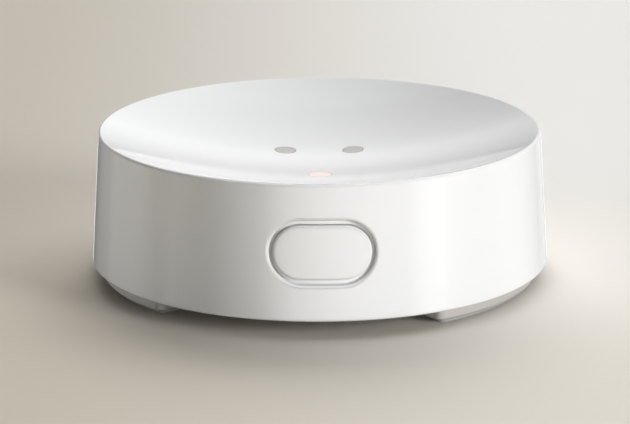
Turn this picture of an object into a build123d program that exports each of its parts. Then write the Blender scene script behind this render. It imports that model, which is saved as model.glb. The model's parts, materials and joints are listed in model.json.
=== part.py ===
from build123d import *

import os
from math import cos, degrees, radians, sin, sqrt

# A round water leak sensor with a dished top, a push button in its side wall and
# a twist-off base cover on three feet. Millimetres. The origin is on the floor
# under the middle, +Z is up and the button faces -Y.
# A bearing is an angle in degrees round +Z, from 0 at the button towards +X.

# Driving sizes of the housing
body_radius = 30.0
wall_taper = 1.06
body_height = 19.72
skirt_lift = 2.2
wall = 1.7
dish_depth = 5.22
dish_wall = 1.4
rim_rounding = 0.3
skirt_rounding = 0.25
ceiling_rounding = 1.2
seal_land = 3.0
rib_depth = 1.0
rib_thickness = 0.9
rib_hub = 10.0
rib_bearings = (22, 62, 118, 160, 200, 240, 298, 338)

# Clearances
slide_clearance = 0.05
close_clearance = 0.1
loose_clearance = 0.3
overrun = 1.0

# Side button
button_height = 10.9
recess_depth = 1.48
recess_length = 13.6
recess_width = 8.5
recess_step = 0.7
recess_rounding = 0.3
cap_length = 12.4
cap_width = 6.9
cap_inset = 0.05
cap_rounding = 0.3
button_travel = 0.4
button_spare = 0.15
window_length = 10.0
window_width = 4.9
window_clearance = 0.2
window_wall = 0.9
button_boss_length = 17.6
button_boss_width = 10.4
seal_length = 12.5
seal_width = 7.4
seal_thickness = 0.6
retainer_length = 16.6
retainer_width = 9.4
retainer_thickness = 0.8
stake_radius = 0.5
stake_span = 14.2
stake_head_radius = 0.75
stake_head = 0.35
hook_length = 3.2
hook_reach = 0.45
hook_thickness = 0.3

# Base cover with its bayonet
cover_lift = 1.5
plate_thickness = 1.2
cover_gap = 0.3
cover_chamfer = 0.4
rim_width = 2.6
rim_height = 2.3
ring_section = 1.2
ring_height = 3.85
ring_groove_width = 1.4
stiffener_gap = 5.1
stiffener_width = 0.8
stiffener_height = 0.6
cover_recess_radius = 8.0
cover_recess_depth = 0.3
lug_bearings = (60, 180, 300)
lug_half_angle = 10
lug_arm_width = 1.5
lug_rise = 2.3
lug_height = 1.0
lug_gap = 0.2
ledge_width = 1.2
ledge_height = 0.8
ledge_overlap_angle = 3
ledge_end_angle = 1
stop_angle = 2.5

# Feet
foot_bearings = (-67.5, 52.5, 172.5)
foot_half_angle = 22
foot_inset = 1.3
foot_width = 5.9
foot_lift = 0.5
foot_height = 1.3
foot_corner = 1.2
foot_chamfer = 0.25
pad_margin = 0.8
pad_depth = 0.3
pad_corner = 0.8

# Floor probes in the cover
probe_x = 9.5
probe_y = -7.5
probe_shank_radius = 0.9
probe_head_radius = 1.9
probe_head = 0.6
probe_head_rounding = 0.2
probe_washer = 0.4
probe_washer_radius = 1.7
probe_rivet_radius = 1.5
probe_rivet = 0.5

# Main board
board_lift = 8.7
board_thickness = 0.8
board_gap = 4.3
board_notch_radius = 1.5
board_notch_bearings = (90, 270)

# Tact switch on the board's front edge
switch_length = 6.0
switch_depth = 3.5
switch_height = 3.4
switch_gap = 4.6
plunger_length = 2.4
plunger_width = 1.4
plunger_lift = 1.65
plunger_reach = 1.0
plunger_depth = 1.6
plunger_gap = 0.05
plunger_rounding = 0.15
switch_rounding = 0.2

# Light guide and its lamp
guide_y = -5.5
guide_radius = 1.5
guide_boss_radius = 2.7
guide_boss_drop = 1.8
guide_flange_radius = 2.3
guide_flange = 0.6
guide_foot_radius = 1.1
lamp_length = 1.6
lamp_width = 0.8
lamp_height = 0.7
lamp_base = 0.3

# Drip contacts in the dish
contact_x = 4.5
contact_y = 6.6
contact_radius = 1.35
contact_head = 0.6
contact_shank_radius = 0.7
contact_washer = 0.4
contact_boss_radius = 2.3
contact_boss_drop = 1.6
contact_rivet = 0.3
contact_rivet_radius = 1.1

# Bent spring fingers on the board
finger_strip = 0.2
finger_width = 1.5
finger_foot = 2.4
finger_bend = 0.5

# Sounder under the dish
sounder_gap = 13.8
sounder_radius = 7.5
sounder_plate_thickness = 0.2
sounder_ceramic_radius = 5.5
sounder_ceramic_thickness = 0.25
sounder_drop = 1.6
sounder_ring_width = 1.3
sounder_ring_lap = 0.8

# Radio module, antenna and other parts on the board
module_gap = 14.8
module_y = -1.5
module_length = 11.0
module_width = 15.0
module_thickness = 0.8
shield_length = 9.6
shield_width = 10.0
shield_height = 1.9
shield_wall = 0.2
shield_rounding = 0.4
shield_offset = 1.6
antenna_strip = 0.4
antenna_thickness = 0.2
antenna_span = 9.0
antenna_reach = 2.6
antenna_folds = 6
chip_y = -14.5
chip_length = 6.0
chip_height = 0.9
chip_dot_radius = 0.4
chip_dot_depth = 0.1
crystal_x = 7.2
crystal_length = 3.2
crystal_width = 1.5
crystal_height = 0.8
capacitor_radius = 2.0
capacitor_height = 2.4
capacitor_x = 6.5
capacitor_y = -18.0
capacitor_rounding = 0.25
bead_length = 1.6
bead_width = 0.8
bead_height = 0.5
bead_pitch = 2.4
bead_count = 4
bead_row_y = 15.6

# Coin cell and its contacts
cell_y = 6.0
cell_radius = 12.25
cell_height = 5.0
cell_lift = 3.4
cell_can = 0.25
cell_rim = 0.6
cell_rounding = 0.6
cell_gasket_width = 0.5
cell_cap_step = 0.35
cell_strip = 0.2
cell_strip_length = 12.0
cell_strip_width = 3.0
cell_dimple_radius = 1.1
clip_width = 3.0
clip_drop = 3.4
clip_foot = 2.6

# Inner frame and its screws
frame_lift = 4.6
frame_floor = 1.0
frame_gap = 3.4
frame_wall = 1.0
frame_top_gap = 0.3
pocket_clearance = 0.25
pocket_wall = 1.0
pocket_low = 3.5
catch_reach = 0.6
catch_height = 0.4
catch_half_angle = 9
finger_notch_width = 9.0
clip_slot_width = 4.4
post_gap = 8.1
post_bearings = (48, 140, 220, 312)
post_radius = 2.4
column_radius = 2.6
screw_radius = 1.0
screw_fit = 0.02
screw_hole_clearance = 0.15
screw_head_radius = 1.9
screw_head = 1.3
screw_head_rounding = 0.5
screw_length = 6.6
screw_drive_radius = 1.1
screw_drive_width = 0.35
screw_drive_depth = 0.6
pilot_spare = 0.5
counterbore_depth = 1.4
counterbore_clearance = 0.2

# Spring pins from the board to the floor probes
pin_flange_radius = 1.5
pin_flange = 0.4
pin_sleeve_radius = 1.1
pin_sleeve_drop = 4.4
pin_tip_radius = 0.7
pin_tip_length = 3.0
pin_press = 0.5
pin_floor_gap = 0.2

# Places worked out from the sizes above
rim_radius = body_radius - wall_taper
dish_low = body_height - dish_depth
dish_radius = (rim_radius**2 + dish_depth**2) / (2 * dish_depth)
dish_centre = dish_low + dish_radius
bore_radius = body_radius - wall
guide_boss_low = dish_low - guide_boss_drop
contact_boss_low = dish_low - contact_boss_drop
sounder_seat = dish_low - sounder_drop
foot_outer = body_radius - foot_inset
foot_inner = foot_outer - foot_width
board_radius = bore_radius - board_gap
switch_front = bore_radius - switch_gap
sounder_x = bore_radius - sounder_gap
module_x = module_gap - bore_radius
frame_radius = bore_radius - frame_gap
post_circle = bore_radius - post_gap
cover_radius = bore_radius - cover_gap
plate_top = cover_lift + plate_thickness
rim_inner = cover_radius - rim_width
stiffener_radius = rim_inner - stiffener_gap
rim_top = plate_top + rim_height
lug_top = rim_top + lug_rise
arm_outer = rim_inner + lug_arm_width
lug_outer = bore_radius - cover_gap - close_clearance
ledge_inner = bore_radius - ledge_width
ledge_top = lug_top - lug_height - lug_gap
ledge_low = ledge_top - ledge_height
board_top = board_lift + board_thickness
board_under = board_lift
frame_top = board_under - frame_top_gap
cell_top = cell_lift + cell_height
pin_low = board_under - pin_flange - pin_sleeve_drop
button_rise = (button_height - skirt_lift) / (body_height - skirt_lift)
recess_floor = recess_depth - (body_radius - wall_taper * button_rise)
cap_back = recess_floor - button_travel - button_spare
window_back = recess_floor + window_wall
boss_back = window_back + seal_thickness
retainer_back = boss_back + retainer_thickness
stem_length = window_length - 2 * window_clearance
stem_width = window_width - 2 * window_clearance
plunger_tip = -(switch_front + plunger_reach)
stem_end = plunger_tip - plunger_gap


def place(radius, bearing, height=0):
    """A point at a radius and bearing round the vertical axis."""
    angle = radians(bearing)
    return (radius * sin(angle), -radius * cos(angle), height)


def wall_at(height):
    """The drafted wall's outer radius at a height."""
    draft_share = (height - skirt_lift) / (body_height - skirt_lift)
    return body_radius - (body_radius - rim_radius) * draft_share


def disc(radius, low, high, x=0, y=0):
    """An upright cylinder between two heights."""
    standing = (Align.CENTER, Align.CENTER, Align.MIN)
    return Pos(x, y, low) * Cylinder(radius, high - low, align=standing)


def tube(outer, inner, low, high, x=0, y=0):
    """An upright tube between two heights."""
    return disc(outer, low, high, x, y) - disc(inner, low - overrun, high + overrun, x, y)


def block(length, width, low, high, x=0, y=0):
    """A box centred on x, y between two heights."""
    standing = (Align.CENTER, Align.CENTER, Align.MIN)
    return Pos(x, y, low) * Box(length, width, high - low, align=standing)


def turned(points):
    """A solid turned from an outline of (radius, height) points."""
    corners = [(radius, 0, height) for radius, height in points]
    outline = Polyline(*corners, close=True)
    return revolve(Face(Wire(outline)), Axis.Z)


def ring_sector(inner, outer, low, high, start, stop):
    """A stretch of a flat ring between two bearings."""
    middle = (start + stop) / 2
    outline = [
        ThreePointArc(place(outer, start), place(outer, middle), place(outer, stop)),
        Line(place(outer, stop), place(inner, stop)),
        ThreePointArc(place(inner, stop), place(inner, middle), place(inner, start)),
        Line(place(inner, start), place(outer, start)),
    ]
    return Pos(0, 0, low) * extrude(Face(Wire(outline)), high - low)


def side_slot(length, width, inner_y, outer_y):
    """A round-ended block at the button's height, reaching out along -Y."""
    outline = Plane.XZ * SlotOverall(length, width)
    return Pos(0, inner_y, button_height) * extrude(outline, inner_y - outer_y)


def dish_ball(depth=0):
    """The sphere of the dish's surface, or of one a depth below it."""
    return Pos(0, 0, dish_centre) * Sphere(dish_radius + depth)


def drafted_form(inset, top=body_height):
    """The space inside the drafted wall, set in by a distance."""
    outline = [
        (0, skirt_lift),
        (body_radius - inset, skirt_lift),
        (wall_at(top) - inset, top),
        (0, top),
    ]
    return turned(outline)


def outer_form():
    """The housing as a filled puck with its dished top and rounded edges."""
    puck = drafted_form(0) - dish_ball()
    rim = puck.edges().filter_by(GeomType.CIRCLE).sort_by(Axis.Z)[-1]
    puck = fillet(rim, rim_rounding)
    skirt = puck.edges().filter_by(GeomType.CIRCLE).sort_by(Axis.Z)[0]
    return fillet(skirt, skirt_rounding)


def cavity():
    """The hollow: a straight land for the cover's ring, then a tapered room."""
    land_top = skirt_lift + seal_land
    outline = [
        (0, skirt_lift - overrun),
        (bore_radius, skirt_lift - overrun),
        (bore_radius, land_top),
        (wall_at(body_height) - wall, body_height),
        (0, body_height),
    ]
    room = turned(outline) - dish_ball(dish_wall)
    corner = room.edges().filter_by(GeomType.CIRCLE).sort_by(Axis.Z)[-1]
    return fillet(corner, ceiling_rounding)


def ceiling_ribs():
    """Ribs that stiffen the dish from below, thinner than its wall."""
    length = bore_radius - rib_hub
    ribs = Part()
    for bearing in rib_bearings:
        rib = block(rib_thickness, length, dish_low - dish_wall - rib_depth, body_height)
        rib = Pos(0, -(rib_hub + length / 2), 0) * rib
        ribs += Rot(0, 0, bearing) * rib
    ribs -= disc(sounder_radius + close_clearance, 0, body_height, sounder_x, 0)
    return ribs & dish_ball(dish_wall + rib_depth)


def bayonet_ledges():
    """Three ledges that the cover's lugs turn over, each with its end stop."""
    outer = bore_radius + wall / 2
    ledges = Part()
    for bearing in lug_bearings:
        start = bearing - lug_half_angle - ledge_overlap_angle
        stop = bearing + lug_half_angle + ledge_end_angle
        ledges += ring_sector(ledge_inner, outer, ledge_low, ledge_top, start, stop)
        ledges += ring_sector(ledge_inner, outer, ledge_low, lug_top, stop, stop + stop_angle)
    return ledges


def housing_posts():
    """Posts for the frame screws and bosses for what passes through the dish."""
    posts = Part()
    for bearing in post_bearings:
        x, y, _ = place(post_circle, bearing)
        posts += disc(post_radius, board_top, body_height, x, y)
    for side in (-1, 1):
        posts += disc(contact_boss_radius, contact_boss_low, body_height, side * contact_x, contact_y)
    posts += disc(guide_boss_radius, guide_boss_low, body_height, 0, guide_y)
    ring_outer = sounder_radius - sounder_ring_lap + sounder_ring_width
    ring_inner = sounder_radius - sounder_ring_lap
    posts += tube(ring_outer, ring_inner, sounder_seat, body_height, sounder_x, 0)
    return posts


def stakes(low, high, radius):
    """The two heat stakes that hold the retainer, between two depths."""
    pins = Part()
    for side in (-1, 1):
        pin = extrude(Plane.XZ * Circle(radius), high - low)
        pins += Pos(side * stake_span / 2, high, button_height) * pin
    return pins


def recessed_form():
    """The filled puck with a shallow step round the key's opening, its mouth rounded."""
    outer_y = -body_radius - overrun
    step = side_slot(recess_length, recess_width, recess_floor, outer_y)
    form = outer_form() - (step - drafted_form(recess_step))
    mouth = form.faces().filter_by(GeomType.CONE).sort_by(SortBy.AREA)[-1]
    mouth_edges = [edge for wire in mouth.inner_wires() for edge in wire.edges()]
    form = fillet(mouth_edges, recess_rounding)
    opening_length = cap_length + 2 * close_clearance
    opening_width = cap_width + 2 * close_clearance
    return form - side_slot(opening_length, opening_width, recess_floor, outer_y)


def make_housing():
    """The one-piece moulding: wall, dish, button recess, posts and ledges."""
    inner_forms = ceiling_ribs() + housing_posts() + bayonet_ledges()
    inner_forms &= drafted_form(wall / 2)
    inner_forms -= dish_ball(dish_wall / 2)
    button_boss = side_slot(button_boss_length, button_boss_width, boss_back, -body_radius)
    shell = recessed_form() - (cavity() - button_boss) + inner_forms
    shell -= side_slot(window_length, window_width, window_back + overrun, recess_floor - overrun)
    pocket_length = seal_length + 2 * slide_clearance
    pocket_width = seal_width + 2 * slide_clearance
    shell -= side_slot(pocket_length, pocket_width, boss_back + overrun, window_back)
    shell += stakes(boss_back - window_wall, retainer_back + stake_head, stake_radius)
    shell += stakes(retainer_back, retainer_back + stake_head, stake_head_radius)
    for side in (-1, 1):
        x = side * contact_x
        head_low = dish_low + contact_seat_rise() - contact_head - contact_washer
        shell -= disc(contact_radius + slide_clearance, head_low, body_height, x, contact_y)
        shell -= disc(contact_shank_radius + slide_clearance, 0, body_height, x, contact_y)
    shell -= disc(guide_radius + slide_clearance, 0, body_height, 0, guide_y)
    screw_top = counterbore_seat() + screw_length + pilot_spare
    for bearing in post_bearings:
        x, y, _ = place(post_circle, bearing)
        shell -= disc(screw_radius + screw_fit, 0, screw_top, x, y)
    return shell


def contact_seat_rise():
    """How far the dish has risen above its middle where a contact sits."""
    distance = sqrt(contact_x**2 + contact_y**2)
    return dish_radius - sqrt(dish_radius**2 - distance**2)


def counterbore_seat():
    """The height where the frame screws' heads seat."""
    return frame_lift + counterbore_depth


def make_button():
    """The key: a cap that follows the wall, and a stem with two snap hooks."""
    cap = side_slot(cap_length, cap_width, cap_back, -body_radius - overrun)
    cap &= drafted_form(cap_inset)
    face = cap.faces().filter_by(GeomType.CONE).sort_by(Axis.Y)[0]
    cap = fillet(face.edges(), cap_rounding)
    stem = side_slot(stem_length, stem_width, stem_end, cap_back)
    hook_low = retainer_back + close_clearance
    hook = Box(hook_length, hook_thickness, stem_width + 2 * hook_reach)
    hook = Pos(0, hook_low + hook_thickness / 2, button_height) * hook
    return cap + stem + hook


def make_button_seal():
    """The wiper ring that keeps water out round the button's stem."""
    ring = side_slot(seal_length, seal_width, boss_back, window_back)
    hole_length = stem_length + 2 * slide_clearance
    hole_width = stem_width + 2 * slide_clearance
    return ring - side_slot(hole_length, hole_width, boss_back + overrun, window_back - overrun)


def make_button_retainer():
    """The plate staked behind the seal; the key's hooks catch on it."""
    plate = side_slot(retainer_length, retainer_width, retainer_back, boss_back)
    plate -= side_slot(window_length, window_width, retainer_back + overrun, boss_back - overrun)
    return plate - stakes(boss_back - overrun, retainer_back + overrun, stake_radius + slide_clearance)


def make_drip_contact(side):
    """A metal contact: flush head, shank and a riveted end below the boss."""
    x = side * contact_x
    head_top = dish_low + contact_seat_rise()
    head = disc(contact_radius, head_top - contact_head, body_height, x, contact_y) - dish_ball()
    shank = disc(contact_shank_radius, contact_boss_low - contact_rivet, head_top - contact_head, x, contact_y)
    rivet_low = contact_boss_low - contact_rivet
    return head + shank + disc(contact_rivet_radius, rivet_low, contact_boss_low, x, contact_y)


def make_drip_contact_seals():
    """A flat sealing ring under each contact's head."""
    high = dish_low + contact_seat_rise() - contact_head
    bore = contact_shank_radius + slide_clearance
    rings = Part()
    for side in (-1, 1):
        rings += tube(contact_radius, bore, high - contact_washer, high, side * contact_x, contact_y)
    return rings


def make_light_guide():
    """The clear pipe from the lamp up to the dish, with its stop flange."""
    flange_low = guide_boss_low - guide_flange
    lamp_top = board_top + lamp_height
    top = disc(guide_radius, flange_low, body_height, 0, guide_y) - dish_ball()
    flange = disc(guide_flange_radius, flange_low, guide_boss_low, 0, guide_y)
    foot_low = lamp_top + close_clearance
    foot_height = flange_low - foot_low
    foot = Cone(guide_foot_radius, guide_radius, foot_height, align=(Align.CENTER, Align.CENTER, Align.MIN))
    return top + flange + Pos(0, guide_y, foot_low) * foot


def make_main_board():
    """The round board with its screw holes and two locating notches."""
    board = disc(board_radius, board_under, board_top)
    for bearing in post_bearings:
        x, y, _ = place(post_circle, bearing)
        board -= disc(screw_radius + screw_hole_clearance, 0, body_height, x, y)
    for bearing in board_notch_bearings:
        x, y, _ = place(board_radius, bearing)
        board -= disc(board_notch_radius, 0, body_height, x, y)
    return board


def make_indicator_lamp():
    """The lamp chip under the light guide: a base with a domed lens block."""
    base = block(lamp_length, lamp_width, board_top, board_top + lamp_base, 0, guide_y)
    lens_length = lamp_length - lamp_base * 2
    lens = block(lens_length, lamp_width, board_top + lamp_base, board_top + lamp_height, 0, guide_y)
    return base + lens


def plunger_bore(length, width, inner_y, outer_y):
    """A block along Y at the height of the switch's plunger."""
    middle = (inner_y + outer_y) / 2
    return Pos(0, middle, board_top + plunger_lift) * Box(length, inner_y - outer_y, width)


def make_tact_switch():
    """The switch's body, with a bore for its plunger."""
    middle = -(switch_front - switch_depth / 2)
    body = block(switch_length, switch_depth, board_top, board_top + switch_height, 0, middle)
    body = fillet(body.edges().filter_by(Axis.Y), switch_rounding)
    bore_back = plunger_tip + plunger_reach + plunger_depth + button_travel + close_clearance
    length = plunger_length + 2 * slide_clearance
    width = plunger_width + 2 * slide_clearance
    return body - plunger_bore(length, width, bore_back, -switch_front - overrun)


def make_switch_plunger():
    """The switch's plunger, which the key pushes in."""
    back = plunger_tip + plunger_reach + plunger_depth
    plunger = plunger_bore(plunger_length, plunger_width, back, plunger_tip)
    front = plunger.faces().sort_by(Axis.Y)[0]
    return fillet(front.edges(), plunger_rounding)


def finger(height, x, y, turn=0):
    """A bent strip on the board: a foot, a rising leg and a bowed contact arm."""
    half = finger_foot / 2
    middle = finger_strip / 2
    path = FilletPolyline(
        (-half, 0, middle),
        (half, 0, middle),
        (half, 0, height - middle),
        (-half, 0, height - middle),
        radius=finger_bend,
    )
    start = Plane(origin=(-half, 0, middle), x_dir=(0, 1, 0), z_dir=(1, 0, 0))
    strip = sweep(start * Rectangle(finger_width, finger_strip), path=path)
    return Pos(x, y, board_top) * Rot(0, 0, turn) * strip


def make_contact_fingers():
    """The two fingers that press up on the drip contacts."""
    height = contact_boss_low - contact_rivet - board_top
    fingers = Part()
    for side in (-1, 1):
        fingers += finger(height, side * contact_x, contact_y, 90)
    return fingers


def make_sounder_plate():
    """The brass plate bonded under the sounder ring."""
    return disc(sounder_radius, sounder_seat - sounder_plate_thickness, sounder_seat, sounder_x, 0)


def make_sounder_ceramic():
    """The ceramic wafer bonded under the brass plate."""
    high = sounder_seat - sounder_plate_thickness
    return disc(sounder_ceramic_radius, high - sounder_ceramic_thickness, high, sounder_x, 0)


def make_sounder_fingers():
    """One finger to the ceramic's middle and one to the plate's bare edge."""
    plate_low = sounder_seat - sounder_plate_thickness
    ceramic_low = plate_low - sounder_ceramic_thickness
    bare_radius = (sounder_ceramic_radius + sounder_radius) / 2
    middle_finger = finger(ceramic_low - board_top, sounder_x, 0)
    edge_finger = finger(plate_low - board_top, sounder_x, bare_radius + finger_width / 4)
    return middle_finger + edge_finger


def make_radio_module():
    """The radio's small carrier board."""
    return block(module_length, module_width, board_top, board_top + module_thickness, module_x, module_y)


def make_radio_shield():
    """The drawn metal can over the radio, open below."""
    low = board_top + module_thickness
    x = module_x
    y = module_y - shield_offset
    can = block(shield_length, shield_width, low, low + shield_height, x, y)
    can = fillet(can.faces().sort_by(Axis.Z)[-1].edges(), shield_rounding)
    inner_length = shield_length - 2 * shield_wall
    inner_width = shield_width - 2 * shield_wall
    top = low + shield_height - shield_wall
    return can - block(inner_length, inner_width, low - overrun, top, x, y)


def make_antenna():
    """A folded metal strip along the module's far edge."""
    low = board_top + module_thickness
    edge = module_y + module_width / 2 - antenna_reach / 2 - loose_clearance
    pitch = antenna_span / antenna_folds
    strip = Part()
    for index in range(antenna_folds + 1):
        x = module_x - antenna_span / 2 + index * pitch
        strip += block(antenna_strip, antenna_reach, low, low + antenna_thickness, x, edge)
    for index in range(antenna_folds):
        side = 1 if index % 2 else -1
        x = module_x - antenna_span / 2 + (index + 1 / 2) * pitch
        y = edge + side * (antenna_reach - antenna_strip) / 2
        strip += block(pitch, antenna_strip, low, low + antenna_thickness, x, y)
    return strip


def make_control_chip():
    """The controller under the board, with its pin-one dimple."""
    low = board_under - chip_height
    chip = block(chip_length, chip_length, low, board_under, 0, chip_y)
    corner = chip_length / 2 - 2 * chip_dot_radius
    return chip - disc(chip_dot_radius, low - overrun, low + chip_dot_depth, corner, chip_y + corner)


def make_small_parts():
    """A crystal and a capacitor below the board, and a row of beads above."""
    crystal_low = board_under - crystal_height
    crystal = block(crystal_width, crystal_length, crystal_low, board_under, crystal_x, chip_y)
    capacitor_low = board_under - capacitor_height
    can = disc(capacitor_radius, capacitor_low, board_under, -capacitor_x, capacitor_y)
    can = fillet(can.edges().sort_by(Axis.Z)[0], capacitor_rounding)
    parts = crystal + can
    first = -(bead_count - 1) * bead_pitch / 2
    for index in range(bead_count):
        x = first + index * bead_pitch
        parts += block(bead_width, bead_length, board_top, board_top + bead_height, x, bead_row_y)
    return parts


def make_cell_can():
    """The coin cell's positive can: a drawn cup with its rim turned in."""
    can = disc(cell_radius, cell_lift, cell_top, 0, cell_y)
    can = fillet(can.edges().sort_by(Axis.Z)[0], cell_rounding)
    hollow_radius = cell_radius - cell_can
    can -= disc(hollow_radius, cell_lift + cell_can, cell_top - cell_can, 0, cell_y)
    return can - disc(cell_radius - cell_rim, cell_lift + cell_can, cell_top + overrun, 0, cell_y)


def make_cell_cap():
    """The cell's negative cap, with the cell's filling behind it."""
    radius = cell_radius - cell_rim - cell_gasket_width
    low = cell_lift + cell_can
    cap = disc(radius, low, cell_top, 0, cell_y)
    step = cell_cap_step
    return fillet(cap.edges().sort_by(Axis.Z)[-1], step)


def make_cell_gasket():
    """The ring that parts the cell's cap from its can."""
    inner = cell_radius - cell_rim - cell_gasket_width
    low = cell_lift + cell_can
    ring = tube(cell_radius - cell_can, inner, low, cell_top - cell_can, 0, cell_y)
    return ring + tube(cell_radius - cell_rim, inner, low, cell_top, 0, cell_y)


def make_cell_plus_contact():
    """The bent clip that touches the can's side."""
    outer_y = cell_y + cell_radius + slide_clearance
    leg = block(clip_width, cell_strip, board_under - clip_drop, board_under, 0, outer_y + cell_strip / 2)
    foot_y = outer_y + clip_foot / 2
    foot_low = board_under - cell_strip
    return leg + block(clip_width, clip_foot, foot_low, board_under, 0, foot_y)


def make_cell_minus_contact():
    """The flat strip under the board, with a dimple down to the cell's cap."""
    low = board_under - cell_strip
    strip = block(cell_strip_length, cell_strip_width, low, board_under, 0, cell_y)
    return strip + disc(cell_dimple_radius, cell_top, low, 0, cell_y)


def cell_pocket():
    """The filled round wall round the cell, with its two catches below."""
    outer = cell_radius + pocket_clearance + pocket_wall
    pocket = disc(outer, pocket_low, frame_top, 0, cell_y)
    for bearing in (90, 270):
        start = bearing - catch_half_angle
        stop = bearing + catch_half_angle
        low = cell_lift - catch_height
        inner = cell_radius + pocket_clearance - catch_reach
        root = outer - pocket_wall / 3
        catch = ring_sector(inner, root, low, pocket_low + pocket_wall, start, stop)
        pocket += Pos(0, cell_y, 0) * catch
    return pocket


def make_inner_frame():
    """The moulded frame: floor, outer wall, cell pocket and screw columns."""
    frame = disc(frame_radius, frame_lift, frame_top)
    frame -= disc(frame_radius - frame_wall, frame_lift + frame_floor, body_height)
    frame += cell_pocket()
    bore = cell_radius + pocket_clearance
    frame -= disc(bore, cell_lift - slide_clearance, body_height, 0, cell_y)
    notch_top = frame_lift + frame_floor + pocket_wall
    frame -= block(finger_notch_width, pocket_wall * 4, 0, notch_top, 0, cell_y - bore)
    slot_depth = clip_foot + 2 * pocket_wall
    slot_y = cell_y + bore - pocket_wall + slot_depth / 2
    frame -= block(clip_slot_width, slot_depth, 0, body_height, 0, slot_y)
    for bearing in post_bearings:
        x, y, _ = place(post_circle, bearing)
        frame += disc(column_radius, frame_lift, board_under, x, y)
        frame -= disc(screw_radius + screw_hole_clearance, 0, body_height, x, y)
        head_bore = screw_head_radius + counterbore_clearance
        frame -= disc(head_bore, 0, counterbore_seat(), x, y)
    for side in (-1, 1):
        sleeve_bore = pin_sleeve_radius + loose_clearance
        frame -= disc(sleeve_bore, 0, body_height, side * probe_x, probe_y)
    return frame


def frame_screw(x, y):
    """One pan-head screw, driven up from below, with a cross in its head."""
    seat = counterbore_seat()
    head = disc(screw_head_radius, seat - screw_head, seat, x, y)
    head = fillet(head.edges().sort_by(Axis.Z)[0], screw_head_rounding)
    shank = disc(screw_radius, seat, seat + screw_length, x, y)
    drive_top = seat - screw_head + screw_drive_depth
    cross = block(2 * screw_drive_radius, screw_drive_width, 0, drive_top, x, y)
    cross += block(screw_drive_width, 2 * screw_drive_radius, 0, drive_top, x, y)
    return head + shank - cross


def make_frame_screws():
    """Four screws through frame and board into the housing's posts."""
    screws = Part()
    for bearing in post_bearings:
        x, y, _ = place(post_circle, bearing)
        screws += frame_screw(x, y)
    return screws


def foot_sole(margin, low, high, corner):
    """The three foot shapes, set in by a margin all round."""
    radius = (foot_inner + foot_outer) / 2
    margin_angle = degrees(margin / radius)
    soles = Part()
    for bearing in foot_bearings:
        start = bearing - foot_half_angle + margin_angle
        stop = bearing + foot_half_angle - margin_angle
        sole = ring_sector(foot_inner + margin, foot_outer - margin, low, high, start, stop)
        soles += fillet(sole.edges().filter_by(Axis.Z), corner)
    return soles


def make_base_cover():
    """The twist-off cover: plate, grooved rim, bayonet lugs and three feet."""
    ring_centre = bore_radius - slide_clearance - ring_section / 2
    groove_radius = ring_centre - ring_section / 2 - slide_clearance
    groove_low = ring_height - ring_groove_width / 2
    groove_high = ring_height + ring_groove_width / 2
    outline = [
        (0, cover_lift + cover_recess_depth),
        (cover_recess_radius, cover_lift + cover_recess_depth),
        (cover_recess_radius + cover_recess_depth, cover_lift),
        (cover_radius - cover_chamfer, cover_lift),
        (cover_radius, cover_lift + cover_chamfer),
        (cover_radius, groove_low),
        (groove_radius, groove_low),
        (groove_radius, groove_high),
        (cover_radius, groove_high),
        (cover_radius, rim_top),
        (rim_inner, rim_top),
        (rim_inner, plate_top),
        (stiffener_radius + stiffener_width, plate_top),
        (stiffener_radius + stiffener_width, plate_top + stiffener_height),
        (stiffener_radius, plate_top + stiffener_height),
        (stiffener_radius, plate_top),
        (0, plate_top),
    ]
    cover = turned(outline)
    for bearing in lug_bearings:
        start = bearing - lug_half_angle
        stop = bearing + lug_half_angle
        cover += ring_sector(rim_inner, arm_outer, plate_top, lug_top, start, stop)
        cover += ring_sector(rim_inner, lug_outer, lug_top - lug_height, lug_top, start, stop)
    feet = foot_sole(0, foot_lift, foot_lift + foot_height, foot_corner)
    feet = chamfer(feet.faces().group_by(Axis.Z)[0].edges(), foot_chamfer)
    cover += feet
    cover -= foot_sole(pad_margin, 0, foot_lift + pad_depth, pad_corner)
    for side in (-1, 1):
        bore = probe_shank_radius + slide_clearance
        cover -= disc(bore, 0, body_height, side * probe_x, probe_y)
    return cover


def make_cover_seal():
    """The round-section ring in the cover's groove."""
    centre = bore_radius - slide_clearance - ring_section / 2
    return Pos(0, 0, ring_height) * Torus(centre, ring_section / 2)


def make_foot_pads():
    """The three rubber pads that the sensor stands on."""
    margin = pad_margin + slide_clearance
    return foot_sole(margin, 0, foot_lift + pad_depth, pad_corner)


def make_floor_probe(side):
    """A probe: rounded head under the cover, shank and a riveted top."""
    x = side * probe_x
    head_top = cover_lift - probe_washer
    head = disc(probe_head_radius, head_top - probe_head, head_top, x, probe_y)
    head = fillet(head.edges().sort_by(Axis.Z)[0], probe_head_rounding)
    shank = disc(probe_shank_radius, head_top, plate_top, x, probe_y)
    rivet = disc(probe_rivet_radius, plate_top, plate_top + probe_rivet, x, probe_y)
    return head + shank + rivet


def make_floor_probe_seals():
    """A flat sealing ring over each probe's head."""
    low = cover_lift - probe_washer
    bore = probe_shank_radius + slide_clearance
    rings = Part()
    for side in (-1, 1):
        rings += tube(probe_washer_radius, bore, low, cover_lift, side * probe_x, probe_y)
    return rings


def tip_low():
    """The lower end of a spring pin's tip, just above the probe's rivet."""
    return plate_top + probe_rivet + pin_floor_gap


def make_probe_pin_sleeves():
    """The sleeves of the two spring pins, hung under the board."""
    sleeves = Part()
    bore = pin_tip_radius + slide_clearance
    bore_top = tip_low() + pin_tip_length + pin_press + close_clearance
    for side in (-1, 1):
        x = side * probe_x
        sleeve = disc(pin_flange_radius, board_under - pin_flange, board_under, x, probe_y)
        sleeve += disc(pin_sleeve_radius, pin_low, board_under - pin_flange, x, probe_y)
        sleeves += sleeve - disc(bore, 0, bore_top, x, probe_y)
    return sleeves


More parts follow.
